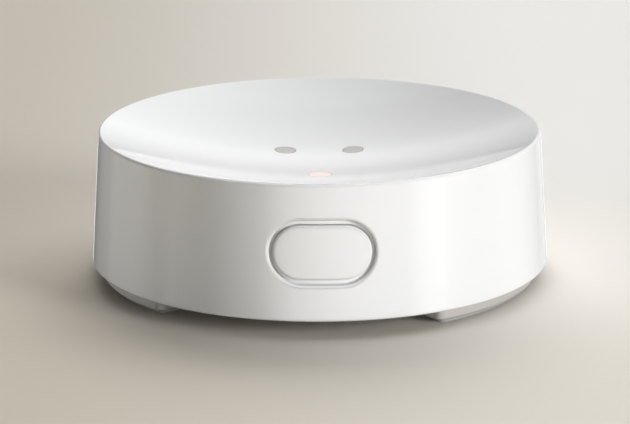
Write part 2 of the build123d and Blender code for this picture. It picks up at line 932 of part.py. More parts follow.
def make_probe_pin_tip(side):
    """A spring pin's round-nosed tip."""
    x = side * probe_x
    tip = disc(pin_tip_radius, tip_low(), tip_low() + pin_tip_length, x, probe_y)
    return fillet(tip.edges().sort_by(Axis.Z)[0], pin_tip_radius / 2)


pieces = {
    "housing": make_housing(),
    "button_cap": make_button(),
    "button_seal": make_button_seal(),
    "button_retainer": make_button_retainer(),
    "drip_contact_left": make_drip_contact(-1),
    "drip_contact_right": make_drip_contact(1),
    "drip_contact_seals": make_drip_contact_seals(),
    "light_guide": make_light_guide(),
    "main_board": make_main_board(),
    "indicator_lamp": make_indicator_lamp(),
    "tact_switch": make_tact_switch(),
    "switch_plunger": make_switch_plunger(),
    "contact_fingers": make_contact_fingers(),
    "sounder_plate": make_sounder_plate(),
    "sounder_ceramic": make_sounder_ceramic(),
    "sounder_fingers": make_sounder_fingers(),
    "radio_module": make_radio_module(),
    "radio_shield": make_radio_shield(),
    "antenna": make_antenna(),
    "control_chip": make_control_chip(),
    "small_parts": make_small_parts(),
    "cell_can": make_cell_can(),
    "cell_cap": make_cell_cap(),
    "cell_gasket": make_cell_gasket(),
    "cell_plus_contact": make_cell_plus_contact(),
    "cell_minus_contact": make_cell_minus_contact(),
    "inner_frame": make_inner_frame(),
    "frame_screws": make_frame_screws(),
    "base_cover": make_base_cover(),
    "cover_seal": make_cover_seal(),
    "foot_pads": make_foot_pads(),
    "floor_probe_left": make_floor_probe(-1),
    "floor_probe_right": make_floor_probe(1),
    "floor_probe_seals": make_floor_probe_seals(),
    "probe_pin_sleeves": make_probe_pin_sleeves(),
    "probe_pin_tip_left": make_probe_pin_tip(-1),
    "probe_pin_tip_right": make_probe_pin_tip(1),
}

os.makedirs("parts", exist_ok=True)
for name, shape in pieces.items():
    export_step(shape, f"parts/{name}.step")
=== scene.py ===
"""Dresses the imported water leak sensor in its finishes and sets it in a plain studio.

Lengths in the classes are millimetres, as a maker writes them, and become metres where a
mesh is made. A bearing is an angle in degrees round +Z, from 0 at the button towards +X.
TINY is a length in millimetres that stands for none.
"""

from __future__ import annotations

import json
import logging
import math
from dataclasses import dataclass, field
from enum import Enum
from typing import NamedTuple

import bmesh
import bpy
import numpy as np
from mathutils import Euler, Matrix
from mathutils.geometry import delaunay_2d_cdt


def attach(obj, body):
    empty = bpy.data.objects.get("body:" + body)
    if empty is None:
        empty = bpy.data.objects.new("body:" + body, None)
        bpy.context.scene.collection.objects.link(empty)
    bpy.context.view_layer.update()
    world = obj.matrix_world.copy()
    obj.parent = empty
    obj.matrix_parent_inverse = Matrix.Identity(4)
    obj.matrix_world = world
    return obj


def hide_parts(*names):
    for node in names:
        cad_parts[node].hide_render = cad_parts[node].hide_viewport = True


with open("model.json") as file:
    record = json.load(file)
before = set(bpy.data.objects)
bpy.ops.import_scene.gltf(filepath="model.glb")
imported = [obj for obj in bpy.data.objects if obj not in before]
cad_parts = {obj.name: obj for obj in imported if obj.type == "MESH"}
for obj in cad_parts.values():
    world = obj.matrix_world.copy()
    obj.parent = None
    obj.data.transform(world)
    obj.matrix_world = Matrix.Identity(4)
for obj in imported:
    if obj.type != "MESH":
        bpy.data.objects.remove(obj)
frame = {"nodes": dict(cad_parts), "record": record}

Tree = bpy.types.NodeTree
Node = bpy.types.Node
Socket = bpy.types.NodeSocket
Piece = bpy.types.Object
Color = tuple[float, float, float]

LOG = logging.getLogger("leak_sensor")
MM = 0.001
TINY = 1e-6
FULL_TURN = 2 * np.pi


class Grain(Enum):
    """The relief that a finish carries."""

    POLISHED = "polished moulding"
    TEXTURED = "spark-eroded moulding"
    TURNED = "lathe-turned metal"
    ROLLED = "rolled sheet metal"
    LAMINATE = "woven laminate"


@dataclass(frozen=True)
class Finish:
    """What a surface is made of: colour, gloss and the scale of its relief.

    Args:
        slot: the record's material slot.
        color: linear base colour.
        roughness: the surface's mean roughness.
        grain: the kind of relief.
        metallic: 1 for bare metal.
        spread: how far the roughness wanders about its mean.
        mottle: how far the colour wanders about its mean.
        grain_size: the relief's spacing in millimetres.
        relief: the relief's height in millimetres.
        coat: weight of a clear gloss coat.
        glow: strength of the surface's own light.
    """

    slot: str
    color: Color
    roughness: float
    grain: Grain = Grain.TEXTURED
    metallic: float = 0.0
    spread: float = 0.04
    mottle: float = 0.02
    grain_size: float = 0.25
    relief: float = 0.002
    coat: float = 0.0
    glow: float = 0.0


FINISHES: tuple[Finish, ...] = (
    Finish("white_gloss_shell", (0.862, 0.862, 0.86), 0.08, Grain.POLISHED, spread=0.03,
           mottle=0.006, grain_size=2.2, relief=0.0003),
    # The base is a white moulding; its mid grey here is painted shade, for the feet and cover that
    # sit in shade under the skirt.
    Finish("white_satin_base", (0.52, 0.5, 0.47), 0.42, grain_size=0.12, relief=0.003),
    Finish("frame_plastic", (0.72, 0.72, 0.71), 0.5, grain_size=0.12, relief=0.003),
    Finish("clear_guide", (0.9, 0.75, 0.67), 0.3, Grain.POLISHED, grain_size=0.4, glow=0.12),
    Finish("nickel_contact", (0.62, 0.6, 0.56), 0.3, Grain.TURNED, metallic=1.0, grain_size=0.09,
           relief=0.002, mottle=0.05),
    Finish("steel_screw", (0.6, 0.6, 0.6), 0.32, Grain.TURNED, metallic=1.0, grain_size=0.12,
           mottle=0.06),
    Finish("spring_metal", (0.86, 0.7, 0.4), 0.28, Grain.ROLLED, metallic=1.0, mottle=0.05),
    Finish("sounder_brass", (0.8, 0.62, 0.32), 0.34, Grain.ROLLED, metallic=1.0, mottle=0.07),
    Finish("sounder_ceramic", (0.8, 0.79, 0.76), 0.38, Grain.ROLLED, metallic=0.4, mottle=0.05),
    Finish("silicone_seal", (0.1, 0.105, 0.11), 0.62, grain_size=0.2, mottle=0.05),
    Finish("pad_rubber", (0.42, 0.42, 0.41), 0.72, grain_size=0.18, relief=0.006, mottle=0.05),
    Finish("board_laminate", (0.02, 0.16, 0.07), 0.36, Grain.LAMINATE, grain_size=0.5,
           mottle=0.12, coat=0.3),
    Finish("black_component", (0.02, 0.02, 0.022), 0.55, grain_size=0.1, mottle=0.1),
    Finish("tinned_can", (0.7, 0.7, 0.68), 0.3, Grain.ROLLED, metallic=1.0, mottle=0.06),
    Finish("lamp_body", (0.95, 0.62, 0.32), 0.25, Grain.POLISHED, glow=1.5),
    Finish("cell_steel", (0.7, 0.7, 0.69), 0.24, Grain.ROLLED, metallic=1.0, mottle=0.05),
    Finish("cell_gasket", (0.06, 0.06, 0.06), 0.6, grain_size=0.15),
)


def join_socket(tree: Tree, source: Socket, target: Socket) -> None:
    """Links one socket to another."""
    tree.links.new(source, target)


def calculate(tree: Tree, operation: str, *values: Socket | float) -> Socket:
    """Adds a Math node of values or sockets.

    Args:
        tree: the tree to add to.
        operation: the node's operation.
        values: its inputs, each a number or a socket.

    Returns:
        The node's result.
    """
    node = tree.nodes.new("ShaderNodeMath")
    node.operation = operation
    for socket, value in zip(node.inputs, values):
        if isinstance(value, Socket):
            join_socket(tree, value, socket)
        else:
            socket.default_value = value
    return node.outputs[0]


class GrainGroup:
    """The shader group that every finish shares: colour drift, gloss drift and relief.

    Patterns over the object's own coordinates drive it. A broad noise drifts the colour and
    the roughness. A fine noise is the relief, and rings round the vertical axis or a weave
    stand in for it where the weights ask for them.
    """

    name = "surface_grain"
    broad_scale = 90.0
    broad_detail = 4.0
    fine_detail = 3.0
    ring_distortion = 0.6

    def build(self) -> Tree:
        """Makes the group once.

        Returns:
            The node group.
        """
        tree = bpy.data.node_groups.new(self.name, "ShaderNodeTree")
        sockets = tree.interface
        sockets.new_socket("Vector", in_out="INPUT", socket_type="NodeSocketVector")
        sockets.new_socket("Color", in_out="INPUT", socket_type="NodeSocketColor")
        for label in ("Mottle", "Roughness", "Spread", "Scale", "Rings", "Weave"):
            sockets.new_socket(label, in_out="INPUT", socket_type="NodeSocketFloat")
        sockets.new_socket("Color", in_out="OUTPUT", socket_type="NodeSocketColor")
        sockets.new_socket("Roughness", in_out="OUTPUT", socket_type="NodeSocketFloat")
        sockets.new_socket("Height", in_out="OUTPUT", socket_type="NodeSocketFloat")
        entry = tree.nodes.new("NodeGroupInput")
        leave = tree.nodes.new("NodeGroupOutput")

        broad = self._noise(tree, entry, self.broad_detail)
        broad.inputs["Scale"].default_value = self.broad_scale
        fine = self._noise(tree, entry, self.fine_detail)
        join_socket(tree, entry.outputs["Scale"], fine.inputs["Scale"])

        swing = calculate(tree, "MULTIPLY_ADD", broad.outputs["Fac"], 2.0, -1.0)
        self._drift_color(tree, entry, leave, swing)
        wander = calculate(tree, "MULTIPLY", swing, entry.outputs["Spread"])
        rough = calculate(tree, "ADD", wander, entry.outputs["Roughness"])
        join_socket(tree, rough, leave.inputs["Roughness"])

        rings = self._rings(tree, entry)
        weave = self._weave(tree, entry)
        ringed = self._mix(tree, entry.outputs["Rings"], fine.outputs["Fac"], rings)
        woven = self._mix(tree, entry.outputs["Weave"], ringed, weave)
        join_socket(tree, woven, leave.inputs["Height"])
        return tree

    def _noise(self, tree: Tree, entry: Node, detail: float) -> Node:
        """Adds a noise that reads the group's vector.

        Args:
            tree: the group's tree.
            entry: the group's input node.
            detail: how many finer octaves the noise has.

        Returns:
            The noise node.
        """
        noise = tree.nodes.new("ShaderNodeTexNoise")
        noise.inputs["Detail"].default_value = detail
        join_socket(tree, entry.outputs["Vector"], noise.inputs["Vector"])
        return noise

    def _mix(self, tree: Tree, share: Socket, first: Socket, second: Socket) -> Socket:
        """Mixes two values.

        Args:
            tree: the tree to add to.
            share: 0 for the first value and 1 for the second.
            first: the first value.
            second: the second value.

        Returns:
            The mixed value.
        """
        node = tree.nodes.new("ShaderNodeMix")
        node.data_type = "FLOAT"
        join_socket(tree, share, node.inputs[0])
        join_socket(tree, first, node.inputs[2])
        join_socket(tree, second, node.inputs[3])
        return node.outputs[0]

    def _drift_color(self, tree: Tree, entry: Node, leave: Node, swing: Socket) -> None:
        """Scales the colour by 1 plus the broad noise's swing times the mottle.

        Args:
            tree: the group's tree.
            entry: the group's input node.
            leave: the group's output node.
            swing: the broad noise, from -1 to 1.
        """
        drift = calculate(tree, "MULTIPLY", swing, entry.outputs["Mottle"])
        gain = calculate(tree, "ADD", drift, 1.0)
        scale = tree.nodes.new("ShaderNodeVectorMath")
        scale.operation = "SCALE"
        join_socket(tree, entry.outputs["Color"], scale.inputs[0])
        join_socket(tree, gain, scale.inputs["Scale"])
        join_socket(tree, scale.outputs["Vector"], leave.inputs["Color"])

    def _rings(self, tree: Tree, entry: Node) -> Socket:
        """Adds fine turning marks: rings round the vertical axis.

        Args:
            tree: the group's tree.
            entry: the group's input node.

        Returns:
            The rings' height, from 0 to 1.
        """
        rings = tree.nodes.new("ShaderNodeTexWave")
        rings.wave_type = "RINGS"
        rings.rings_direction = "Z"
        rings.inputs["Distortion"].default_value = self.ring_distortion
        join_socket(tree, entry.outputs["Vector"], rings.inputs["Vector"])
        join_socket(tree, entry.outputs["Scale"], rings.inputs["Scale"])
        return rings.outputs["Fac"]

    def _weave(self, tree: Tree, entry: Node) -> Socket:
        """Adds the threads under a laminate's coat: the higher of two crossed waves.

        Args:
            tree: the group's tree.
            entry: the group's input node.

        Returns:
            The threads' height, from 0 to 1.
        """
        threads = []
        for direction in ("X", "Y"):
            wave = tree.nodes.new("ShaderNodeTexWave")
            wave.wave_type = "BANDS"
            wave.bands_direction = direction
            join_socket(tree, entry.outputs["Vector"], wave.inputs["Vector"])
            join_socket(tree, entry.outputs["Scale"], wave.inputs["Scale"])
            threads.append(wave.outputs["Fac"])
        return calculate(tree, "MAXIMUM", *threads)


class Finisher:
    """Makes one material for each finish and hands it out by slot."""

    ring_weight = {Grain.TURNED: 1.0}
    weave_weight = {Grain.LAMINATE: 1.0}

    def __init__(self) -> None:
        """Builds the shared group and every material."""
        self.group = GrainGroup().build()
        self.materials = {finish.slot: self._material(finish) for finish in FINISHES}

    def _material(self, finish: Finish) -> bpy.types.Material:
        """Makes a finish's material.

        Args:
            finish: the finish to make.

        Returns:
            The material.
        """
        material = bpy.data.materials.new(finish.slot)
        material.use_nodes = True
        tree = material.node_tree
        shader = tree.nodes["Principled BSDF"]
        place = tree.nodes.new("ShaderNodeTexCoord")
        grain = tree.nodes.new("ShaderNodeGroup")
        grain.node_tree = self.group
        join_socket(tree, place.outputs["Object"], grain.inputs["Vector"])
        grain.inputs["Color"].default_value = (*finish.color, 1.0)
        grain.inputs["Mottle"].default_value = finish.mottle
        grain.inputs["Roughness"].default_value = finish.roughness
        grain.inputs["Spread"].default_value = finish.spread
        grain.inputs["Scale"].default_value = 1.0 / (finish.grain_size * MM)
        grain.inputs["Rings"].default_value = self.ring_weight.get(finish.grain, 0.0)
        grain.inputs["Weave"].default_value = self.weave_weight.get(finish.grain, 0.0)
        bump = tree.nodes.new("ShaderNodeBump")
        bump.inputs["Distance"].default_value = finish.relief * MM
        join_socket(tree, grain.outputs["Color"], shader.inputs["Base Color"])
        join_socket(tree, grain.outputs["Roughness"], shader.inputs["Roughness"])
        join_socket(tree, grain.outputs["Height"], bump.inputs["Height"])
        join_socket(tree, bump.outputs["Normal"], shader.inputs["Normal"])
        shader.inputs["Metallic"].default_value = finish.metallic
        shader.inputs["Coat Weight"].default_value = finish.coat
        if finish.glow:
            shader.inputs["Emission Color"].default_value = (*finish.color, 1.0)
            shader.inputs["Emission Strength"].default_value = finish.glow
        return material

    def dress(self, piece: Piece, slot: str) -> None:
        """Puts a slot's material on a piece as its only one."""
        piece.data.materials.clear()
        piece.data.materials.append(self.materials[slot])


class Surface:
    """A mesh under construction: grids and triangles whose shared edges are merged at the end."""

    merge_distance = 2e-7

    def __init__(self) -> None:
        """Starts with no points and no faces."""
        self.points: list[np.ndarray] = []
        self.faces: list[np.ndarray] = []
        self.count = 0

    def grid(self, rows: np.ndarray, closed: bool, keep: np.ndarray | None = None) -> None:
        """Adds a grid of quads between neighbouring rows.

        Args:
            rows: points as rows by columns by 3, in millimetres.
            closed: whether the last column joins the first.
            keep: which quads to keep, as rows - 1 by quads in a row.
        """
        height, width, _ = rows.shape
        index = np.arange(height * width).reshape(height, width) + self.count
        right = np.roll(index, -1, axis=1)
        quads = np.stack([index[:-1], right[:-1], right[1:], index[1:]], axis=-1)
        if not closed:
            quads = quads[:, :-1]
        chosen = quads.reshape(-1, 4) if keep is None else quads[keep]
        self._add(rows.reshape(-1, 3), chosen)

    def triangles(self, points: np.ndarray, corners: np.ndarray) -> None:
        """Adds loose triangles, given by their corners' numbers."""
        self._add(points, corners + self.count)

    def _add(self, points: np.ndarray, faces: np.ndarray) -> None:
        """Stores points and the faces that use them.

        Args:
            points: points in millimetres.
            faces: the points' numbers, one row a face.
        """
        self.points.append(points)
        self.faces.append(faces)
        self.count += len(points)

    def make(self, name: str) -> Piece:
        """Merges shared edges, turns the faces outwards and links the object.

        Args:
            name: the piece's name.

        Returns:
            The object, at the origin, with its place in its mesh.
        """
        mesh = bpy.data.meshes.new(name)
        points = np.concatenate(self.points) * MM
        faces = [face.tolist() for block in self.faces for face in block]
        mesh.from_pydata(points.tolist(), [], faces)
        work = bmesh.new()
        work.from_mesh(mesh)
        bmesh.ops.remove_doubles(work, verts=work.verts, dist=self.merge_distance)
        bmesh.ops.dissolve_degenerate(work, edges=work.edges, dist=self.merge_distance)
        bmesh.ops.recalc_face_normals(work, faces=work.faces)
        work.to_mesh(mesh)
        work.free()
        mesh.polygons.foreach_set("use_smooth", np.ones(len(mesh.polygons), bool))
        mesh.update()
        piece = bpy.data.objects.new(name, mesh)
        bpy.context.scene.collection.objects.link(piece)
        return piece


def turned_rows(profile: np.ndarray, bearings: np.ndarray) -> np.ndarray:
    """Turns a profile round the vertical axis.

    A point of the profile at (radius, height) and a bearing b lies at
    (radius sin b, -radius cos b, height).

    Args:
        profile: points of (radius, height).
        bearings: bearings in radians, one a column.

    Returns:
        Points as rows by columns by 3.
    """
    radius = profile[:, 0][:, None]
    height = np.broadcast_to(profile[:, 1][:, None], (len(profile), len(bearings)))
    return np.stack([radius * np.sin(bearings), -radius * np.cos(bearings), height], axis=-1)


def quarter_round(start: np.ndarray, corner: np.ndarray, stop: np.ndarray,
                  steps: int) -> np.ndarray:
    """A rounded corner between two points: a rational quadratic curve that bows to the corner.

    Args:
        start: where the round leaves the first line.
        corner: where the two lines would meet.
        stop: where the round joins the second line.
        steps: how many points, both ends included.

    Returns:
        The points of the curve.
    """
    share = np.linspace(0.0, 1.0, steps)[:, None]
    first = (corner - start) / np.linalg.norm(corner - start)
    second = (stop - corner) / np.linalg.norm(stop - corner)
    weight = math.sqrt((1.0 + float(first @ second)) / 2.0)
    blend_a = (1 - share) ** 2
    blend_b = 2 * share * (1 - share) * weight
    blend_c = share**2
    return (blend_a * start + blend_b * corner + blend_c * stop) / (blend_a + blend_b + blend_c)


@dataclass
class SlotLoop:
    """A round-ended outline in the side view, walked from its lowest middle point towards +X.

    Args:
        quarters: the share of a quarter's length at each column of that quarter, kept the
            same for every loop so that rows of different sizes line up.
        least_radius: what stands for the end's radius where the outline has no width.
    """

    quarters: np.ndarray
    least_radius: float = 1e-9

    def points(self, length: float, width: float) -> np.ndarray:
        """Walks the outline.

        A quarter is half of the straight side and a quarter circle. The other three are its
        mirror images, so each quarter's shares run forwards, backwards, forwards, backwards.

        Args:
            length: the outline's length along X.
            width: the outline's width along Z.

        Returns:
            Points of (x, z) about the outline's middle.
        """
        radius = width / 2
        straight = (length - width) / 2
        arc = radius * math.pi / 2
        walked = self.quarters * (straight + arc)
        turn = np.clip(walked - straight, 0.0, None) / max(radius, self.least_radius)
        x = np.minimum(walked, straight) + radius * np.sin(turn)
        z = -radius * np.cos(turn)
        lower = np.stack([x, z], axis=-1)
        upper = lower[::-1] * (1, -1)
        right = np.concatenate([lower, upper[1:]])
        left = right[::-1] * (-1, 1)
        return np.concatenate([right, left[1:-1]])


class RoundSocket(NamedTuple):
    """A socket in the dish: its middle, radius and depth, in millimetres."""

    x: float
    y: float
    radius: float
    depth: float


@dataclass
class HousingShell:
    """The white moulding: drafted wall, crisp rim, dished top and the button's recess.

    Lengths are millimetres. Depths of the recess and the key are places on Y. Names that end
    in steps, rows, columns or rings say how finely the surface is divided.
    """

    body_radius: float = 30.0
    rim_radius: float = 28.94
    body_height: float = 19.72
    skirt_lift: float = 2.2
    wall: float = 1.7
    dish_depth: float = 5.22
    dish_wall: float = 1.4
    rim_rounding: float = 0.3
    skirt_rounding: float = 0.25
    ceiling_rounding: float = 1.2
    seal_land: float = 3.0
    button_height: float = 10.9
    recess_length: float = 13.2
    recess_width: float = 8.1
    recess_step: float = 0.75
    recess_rounding: float = 0.5
    recess_floor: float = -27.994
    floor_rounding: float = 0.1
    opening_length: float = 12.52
    opening_width: float = 7.02
    window_length: float = 10.0
    window_width: float = 4.9
    window_wall: float = 0.9
    pocket_length: float = 12.6
    pocket_width: float = 7.5
    pocket_depth: float = 0.6
    boss_length: float = 17.6
    boss_width: float = 10.4
    columns: int = 480
    window_columns: int = 24
    window_rows: int = 16
    window_half_height: float = 6.2
    skirt_steps: int = 7
    rim_steps: int = 13
    ceiling_steps: int = 9
    mouth_steps: int = 9
    plain_rows: int = 8
    ledge_rows: int = 4
    dish_rows: int = 44
    ceiling_rows: int = 30
    meeting_rounds: int = 30
    outer_spread_rows: int = 9
    inner_spread_rows: int = 7
    spread_ease: float = 1.6
    center_radius: float = 12.0
    sockets: tuple[RoundSocket, ...] = (
        RoundSocket(-4.5, 6.6, 1.4, 1.0),
        RoundSocket(4.5, 6.6, 1.4, 1.0),
        RoundSocket(0.0, -5.5, 1.55, 1.0),
    )
    socket_rounding: float = 0.06
    socket_steps: int = 5
    socket_columns: int = 96
    socket_rings: tuple[float, ...] = (0.0, 0.06, 0.14, 0.3, 0.55, 0.9)
    net_pitch: float = 0.42
    rim_clearance: float = 0.7
    socket_clearance: float = 0.6
    mouth_share: float = 0.98
    bearings: np.ndarray = field(init=False)

    def __post_init__(self) -> None:
        """Works out the dish's sphere and the bearings of the columns."""
        self.dish_radius = (self.rim_radius**2 + self.dish_depth**2) / (2 * self.dish_depth)
        self.dish_center = self.body_height - self.dish_depth + self.dish_radius
        self.bearings = np.linspace(0.0, FULL_TURN, self.columns, endpoint=False)

    def wall_at(self, height: float | np.ndarray) -> float | np.ndarray:
        """The drafted wall's outer radius: a straight line from the skirt to the rim."""
        share = (height - self.skirt_lift) / (self.body_height - self.skirt_lift)
        return self.body_radius - (self.body_radius - self.rim_radius) * share

    def dish_at(self, radius: float | np.ndarray, depth: float = 0.0) -> float | np.ndarray:
        """The height of the dish's sphere, or of one a depth below it, at a radius."""
        return self.dish_center - np.sqrt((self.dish_radius + depth) ** 2 - radius**2)

    def _outer_profile(self) -> np.ndarray:
        """Draws the outside: the skirt's underside, the wall, the rim's round and the dish.

        The rim's round starts where a circle of its radius touches both lines, at the radius
        over the tangent of half the angle between them.

        Returns:
            Points of (radius, height).
        """
        bore = self.body_radius - self.wall
        skirt = np.array([self.body_radius, self.skirt_lift])
        rim = np.array([self.rim_radius, self.body_height])
        up = (rim - skirt) / np.linalg.norm(rim - skirt)
        slope = self.rim_radius / math.sqrt(self.dish_radius**2 - self.rim_radius**2)
        sink = np.array([-1.0, -slope])
        sink = sink / np.linalg.norm(sink)
        opening = math.acos(float(-up @ sink))
        reach = self.rim_rounding / math.tan(opening / 2)
        rim_turn = quarter_round(rim - up * reach, rim, rim + sink * reach, self.rim_steps)
        reach = self.skirt_rounding
        start = skirt - (reach, 0.0)
        skirt_turn = quarter_round(start, skirt, skirt + up * reach, self.skirt_steps)
        rim_turn[-1, 1] = self.dish_at(rim_turn[-1, 0])
        low = self.button_height - self.window_half_height
        high = self.button_height + self.window_half_height
        foot = np.linspace(skirt_turn[-1, 1], low, self.plain_rows)[1:-1]
        middle = np.linspace(low, high, 2 * self.window_rows + 1)
        head = np.linspace(high, rim_turn[0, 1], self.plain_rows)[1:-1]
        heights = np.concatenate([foot, middle, head])
        side = np.stack([self.wall_at(heights), heights], axis=-1)
        radii = np.linspace(rim_turn[-1, 0], self.center_radius, self.dish_rows)[1:]
        dish = np.stack([radii, self.dish_at(radii)], axis=-1)
        ledge = np.linspace(bore, skirt_turn[0, 0], self.ledge_rows)[:-1]
        underside = np.stack([ledge, np.full_like(ledge, self.skirt_lift)], axis=-1)
        self.window_start = len(underside) + len(skirt_turn) + len(foot)
        return np.concatenate([underside, skirt_turn, side, rim_turn, dish])

    def _inner_profile(self) -> np.ndarray:
        """Draws the inside: the seal's land, the tapered wall, its round and the ceiling.

        The wall and the ceiling meet where each gives the other's height and radius, found by
        taking turns until they settle.

        Returns:
            Points of (radius, height).
        """
        bore = self.body_radius - self.wall
        land_top = self.skirt_lift + self.seal_land
        top_height = self.body_height
        for _ in range(self.meeting_rounds):
            top_radius = self._inner_wall_at(top_height)
            top_height = float(self.dish_at(top_radius, self.dish_wall))
        corner = np.array([top_radius, top_height])
        along = np.array([self._inner_wall_at(land_top) - top_radius, land_top - top_height])
        along = along / np.linalg.norm(along)
        reach = self.ceiling_rounding
        inward = top_radius - reach
        stop = np.array([inward, self.dish_at(inward, self.dish_wall)])
        turn = quarter_round(corner + along * reach, corner, stop, self.ceiling_steps)
        land = np.array([[bore, self.skirt_lift], [bore, (self.skirt_lift + land_top) / 2]])
        low = self.button_height - self.window_half_height
        high = min(self.button_height + self.window_half_height, turn[0, 1] - self.skirt_rounding)
        self.inner_window = (max(low, land_top), high)
        middle = np.linspace(*self.inner_window, 2 * self.window_rows + 1)
        side = np.stack([self._inner_wall_at(middle), middle], axis=-1)
        radii = np.linspace(stop[0], 0.0, self.ceiling_rows)[1:]
        ceiling = np.stack([radii, self.dish_at(radii, self.dish_wall)], axis=-1)
        self.inner_start = len(land)
        return np.concatenate([land, side, turn, ceiling])

    def _inner_wall_at(self, height: float | np.ndarray) -> float | np.ndarray:
        """Works out the inner wall's radius, which tapers from the seal's land to the rim.

        Args:
            height: the height, or an array of heights.

        Returns:
            The radius at each height.
        """
        bore = self.body_radius - self.wall
        land_top = self.skirt_lift + self.seal_land
        top = self.rim_radius - self.wall
        share = (height - land_top) / (self.body_height - land_top)
        return bore + (top - bore) * share

    def _windowed(self, surface: Surface, profile: np.ndarray, start: int) -> np.ndarray:
        """Adds a turned wall with the button's window left open.

        Args:
            surface: the mesh to add to.
            profile: the wall's profile.
            start: the profile's row at the window's lower edge.

        Returns:
            The window's edge, as points in the order of the recess's columns.
        """
        rows = turned_rows(profile, self.bearings)
        keep = np.ones((len(profile) - 1, self.columns), bool)
        wide, tall = self.window_columns, 2 * self.window_rows
        columns = np.arange(-wide, wide) % self.columns
        keep[np.ix_(np.arange(start, start + tall), columns)] = False
        surface.grid(rows, True, keep)
        half = self.window_rows
        lower = [(start, column) for column in range(0, wide)]
        right = [(start + row, wide) for row in range(0, tall)]
        upper = [(start + tall, column) for column in range(wide, -wide, -1)]
        left = [(start + row, -wide) for row in range(tall, 0, -1)]
        last = [(start, column) for column in range(-wide, 0)]
        self.quarter_count = wide + half
        walk = np.array(lower + right + upper + left + last)
        return rows[walk[:, 0], walk[:, 1] % self.columns]

    def cone_row(self, outline: np.ndarray, inner: bool = False, sink: float = 0.0,
                 inset: float = 0.0) -> np.ndarray:
        """Lays an outline of the side view on the outer or inner wall.

        Args:
            outline: points of (x, z) about the button's middle.
            inner: whether it lies on the inner wall.
            sink: how far it is pushed in along +Y.
            inset: how much smaller the wall's radius is taken.

        Returns:
            Points on the wall.
        """
        height = outline[:, 1] + self.button_height
        radius = (self._inner_wall_at(height) if inner else self.wall_at(height)) - inset
        depth = -np.sqrt(radius**2 - outline[:, 0] ** 2) + sink
        return np.stack([outline[:, 0], depth, height], axis=-1)

    def flat_row(self, outline: np.ndarray, depth: float) -> np.ndarray:
        """Lays an outline of the side view on a flat at a depth."""
        height = outline[:, 1] + self.button_height
        return np.stack([outline[:, 0], np.full(len(outline), depth), height], axis=-1)

    def _spread_rows(self, edge: np.ndarray, target: np.ndarray, inner: bool,
                     steps: int) -> list[np.ndarray]:
        """Rows that carry the window's edge over to an outline on the same wall.

        Bearing and height are mixed by a share that slows towards the outline, and the point
        is put back on the wall, so the wall's curve is kept.

        Args:
            edge: the window's edge points.
            target: the outline's points on the wall.
            inner: whether this is the inner wall.
            steps: how many rows, both ends included.

        Returns:
            The rows from the window's edge to the outline.
        """
        shares = 1 - (1 - np.linspace(0.0, 1.0, steps)) ** self.spread_ease
        edge_bearing = np.arctan2(edge[:, 0], -edge[:, 1])
        target_bearing = np.arctan2(target[:, 0], -target[:, 1])
        rows = [edge]
        for share in shares[1:-1]:
            bearing = edge_bearing + (target_bearing - edge_bearing) * share
            height = edge[:, 2] + (target[:, 2] - edge[:, 2]) * share
            radius = self._inner_wall_at(height) if inner else self.wall_at(height)
            spot = [radius * np.sin(bearing), -radius * np.cos(bearing), height]
            rows.append(np.stack(spot, axis=-1))
        return rows + [target]

    def _recess(self, surface: Surface, outer_edge: np.ndarray, inner_edge: np.ndarray) -> None:
        """Adds the recess, its window, the seal's pocket and the boss, as one band of rows.

        The mouth's round follows a quarter circle: at an angle a the outline is wider by the
        radius times 1 - sin a on each side, and sinks by the radius times 1 - cos a. The
        round at the floor is the same, turned inwards.

        Args:
            surface: the mesh to add to.
            outer_edge: the edge of the outer wall's window.
            inner_edge: the edge of the inner wall's window.
        """
        loop = SlotLoop(np.linspace(0.0, 1.0, self.quarter_count + 1))
        mouth = self.recess_rounding
        turn = np.linspace(0.0, np.pi / 2, self.mouth_steps)
        lips = []
        for angle in turn:
            grow = 2 * mouth * (1 - math.sin(angle))
            outline = loop.points(self.recess_length + grow, self.recess_width + grow)
            lips.append(self.cone_row(outline, sink=mouth * (1 - math.cos(angle))))
        rows = self._spread_rows(outer_edge, lips[0], False, self.outer_spread_rows) + lips[1:]
        for angle in turn[::2]:
            shrink = 2 * self.floor_rounding * (1 - math.cos(angle))
            rise = self.recess_step - self.floor_rounding * (1 - math.sin(angle))
            outline = loop.points(self.recess_length - shrink, self.recess_width - shrink)
            rows.append(self.cone_row(outline, inset=rise))
        opening = loop.points(self.opening_length, self.opening_width)
        rows += self.crisp(rows[-1], self.cone_row(opening, inset=self.recess_step))
        rows += self.crisp(rows[-1], self.flat_row(opening, self.recess_floor))
        window = loop.points(self.window_length, self.window_width)
        pocket = loop.points(self.pocket_length, self.pocket_width)
        boss = loop.points(self.boss_length, self.boss_width)
        pocket_floor = self.recess_floor + self.window_wall
        boss_face = pocket_floor + self.pocket_depth
        rows += self.crisp(rows[-1], self.flat_row(window, self.recess_floor))
        rows += self.crisp(rows[-1], self.flat_row(window, pocket_floor))
        rows += self.crisp(rows[-1], self.flat_row(pocket, pocket_floor))
        rows += self.crisp(rows[-1], self.flat_row(pocket, boss_face))
        rows += self.crisp(rows[-1], self.flat_row(boss, boss_face))
        root = self.cone_row(boss, inner=True)
        rows += self.crisp(rows[-1], root)
        rows += self._spread_rows(inner_edge, root, True, self.inner_spread_rows)[::-1][1:]
        surface.grid(np.stack(rows), True)

    @staticmethod
    def crisp(start: np.ndarray, stop: np.ndarray) -> list[np.ndarray]:
        """Rows from one outline to the next, with close ones at the ends to keep edges sharp."""
        shares = (0.04, 0.5, 0.96, 1.0)
        return [start + (stop - start) * share for share in shares]

